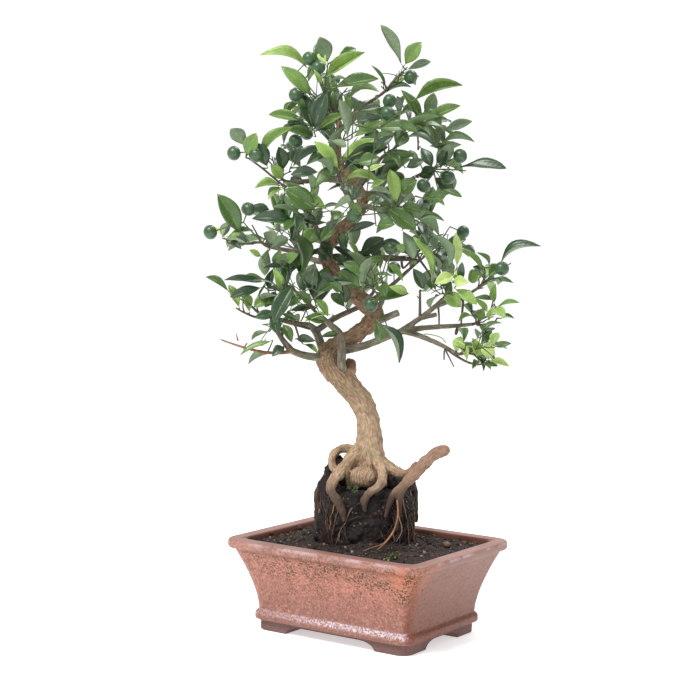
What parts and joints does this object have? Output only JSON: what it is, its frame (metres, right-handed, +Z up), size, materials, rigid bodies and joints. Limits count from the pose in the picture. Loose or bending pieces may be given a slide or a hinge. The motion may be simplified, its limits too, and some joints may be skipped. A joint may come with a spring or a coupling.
{
  "type": "citrus bonsai in a rectangular pot",
  "caption": "Small fruiting bonsai with a winding trunk, bared roots and separate foliage masses, in a low rectangular footed ceramic pot.",
  "frame": {"origin": "on the surface that the pot stands on, under the middle of the whole object's footprint; the pot's own middle stands 5.2 mm along +X and 5.1 mm along -Y from it", "axes": "+X along the pot's long side, +Y along its short side away from the side the tree shows, +Z up through the crown"},
  "size_m": [0.293, 0.2572, 0.549],
  "materials": {
    "pot_glaze": "gloss",
    "potting_soil": "matte",
    "trunk_bark": "matte",
    "root_bark": "matte",
    "bough_bark": "matte",
    "foliage": "satin"
  },
  "bodies": {
    "root": {"apex_left_foliage": "foliage", "apex_right_foliage": "foliage", "back_left_bough": "bough_bark", "back_left_foliage": "foliage", "back_left_root": "root_bark", "back_low_bough": "bough_bark", "back_low_foliage": "foliage", "back_mid_bough": "bough_bark", "back_mid_foliage": "foliage", "back_right_foliage": "foliage", "back_right_root": "root_bark", "back_root": "root_bark", "back_upper_bough": "bough_bark", "back_upper_foliage": "foliage", "bare_twig": "bough_bark", "cut_stub": "bough_bark", "dark_shoot": "bough_bark", "front_bough": "bough_bark", "front_left_foliage": "foliage", "front_mid_bough": "bough_bark", "front_mid_foliage": "foliage", "front_middle_bough": "bough_bark", "front_middle_foliage": "foliage", "front_right_bough": "bough_bark", "front_right_foliage": "foliage", "front_shoulder_bough": "bough_bark", "front_shoulder_foliage": "foliage", "front_upper_bough": "bough_bark", "front_upper_foliage": "foliage", "left_rising_bough": "bough_bark", "left_root": "root_bark", "left_tip_foliage": "foliage", "low_left_bough": "bough_bark", "low_left_foliage": "foliage", "mid_left_bough": "bough_bark", "mid_left_foliage": "foliage", "mid_right_bough": "bough_bark", "mid_right_foliage": "foliage", "pot": "pot_glaze", "raised_root": "root_bark", "right_foliage": "foliage", "right_long_bough": "bough_bark", "right_low_bough": "bough_bark", "right_low_foliage": "foliage", "right_mid_foliage": "foliage", "right_stub": "bough_bark", "right_tip_bough": "bough_bark", "right_tip_foliage": "foliage", "right_upper_bough": "bough_bark", "root_ball": "potting_soil", "shoulder_bough": "bough_bark", "shoulder_foliage": "foliage", "soil_bed": "potting_soil", "top_right_bough": "bough_bark", "trunk": "trunk_bark", "up_left_bough": "bough_bark", "up_left_foliage": "foliage", "up_right_bough": "bough_bark", "up_right_foliage": "foliage"}
  },
  "joints": []
}
